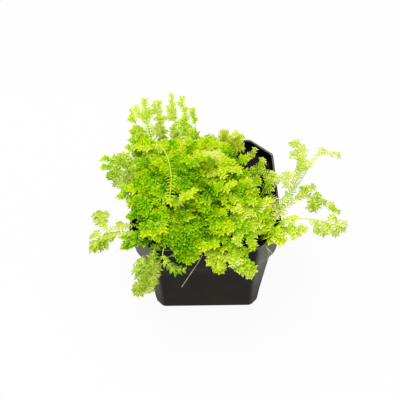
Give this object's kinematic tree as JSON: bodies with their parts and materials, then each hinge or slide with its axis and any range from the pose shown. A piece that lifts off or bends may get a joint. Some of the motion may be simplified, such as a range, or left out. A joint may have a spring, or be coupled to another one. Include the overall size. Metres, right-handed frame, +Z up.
{
  "type": "potted spikemoss",
  "caption": "Golden spikemoss in a square black nursery pot: flat forked fronds lean out of peat compost, arch over the rim and hang thin aerial roots.",
  "frame": {"origin": "centre of the pot's underside, on the surface that the pot stands on", "axes": "+Z up, -Y towards the pot's front, +X towards the side with the long arching fronds"},
  "size_m": [0.1555, 0.1157, 0.1177],
  "materials": {
    "pot_plastic": "satin",
    "peat_compost": "matte",
    "golden_leaf": "satin",
    "root_thread": "matte"
  },
  "bodies": {
    "root": {"aerial_root_1": "root_thread", "aerial_root_2": "root_thread", "aerial_root_3": "root_thread", "aerial_root_4": "root_thread", "arching_frond": "golden_leaf", "back_left_frond_1": "golden_leaf", "back_left_frond_2": "golden_leaf", "back_left_frond_3": "golden_leaf", "back_left_frond_4": "golden_leaf", "back_left_frond_5": "golden_leaf", "back_left_frond_6": "golden_leaf", "back_left_frond_7": "golden_leaf", "back_middle_frond_1": "golden_leaf", "back_middle_frond_2": "golden_leaf", "back_middle_frond_3": "golden_leaf", "back_right_frond_1": "golden_leaf", "back_right_frond_2": "golden_leaf", "bright_frond": "golden_leaf", "compost": "peat_compost", "front_frond_1": "golden_leaf", "front_frond_2": "golden_leaf", "front_frond_3": "golden_leaf", "front_frond_4": "golden_leaf", "front_left_frond_1": "golden_leaf", "front_left_frond_2": "golden_leaf", "hanging_frond_1": "golden_leaf", "hanging_frond_2": "golden_leaf", "left_corner_frond": "golden_leaf", "left_frond_1": "golden_leaf", "left_frond_2": "golden_leaf", "left_frond_3": "golden_leaf", "left_trailing_frond_1": "golden_leaf", "left_trailing_frond_2": "golden_leaf", "mound_frond_1": "golden_leaf", "mound_frond_10": "golden_leaf", "mound_frond_11": "golden_leaf", "mound_frond_12": "golden_leaf", "mound_frond_13": "golden_leaf", "mound_frond_14": "golden_leaf", "mound_frond_15": "golden_leaf", "mound_frond_16": "golden_leaf", "mound_frond_17": "golden_leaf", "mound_frond_18": "golden_leaf", "mound_frond_2": "golden_leaf", "mound_frond_3": "golden_leaf", "mound_frond_4": "golden_leaf", "mound_frond_5": "golden_leaf", "mound_frond_6": "golden_leaf", "mound_frond_7": "golden_leaf", "mound_frond_8": "golden_leaf", "mound_frond_9": "golden_leaf", "pot": "pot_plastic", "right_corner_frond": "golden_leaf", "right_rim_frond": "golden_leaf", "right_trailing_frond_1": "golden_leaf", "right_trailing_frond_2": "golden_leaf", "right_trailing_frond_3": "golden_leaf", "right_trailing_frond_4": "golden_leaf", "yellow_frond": "golden_leaf"}
  },
  "joints": []
}
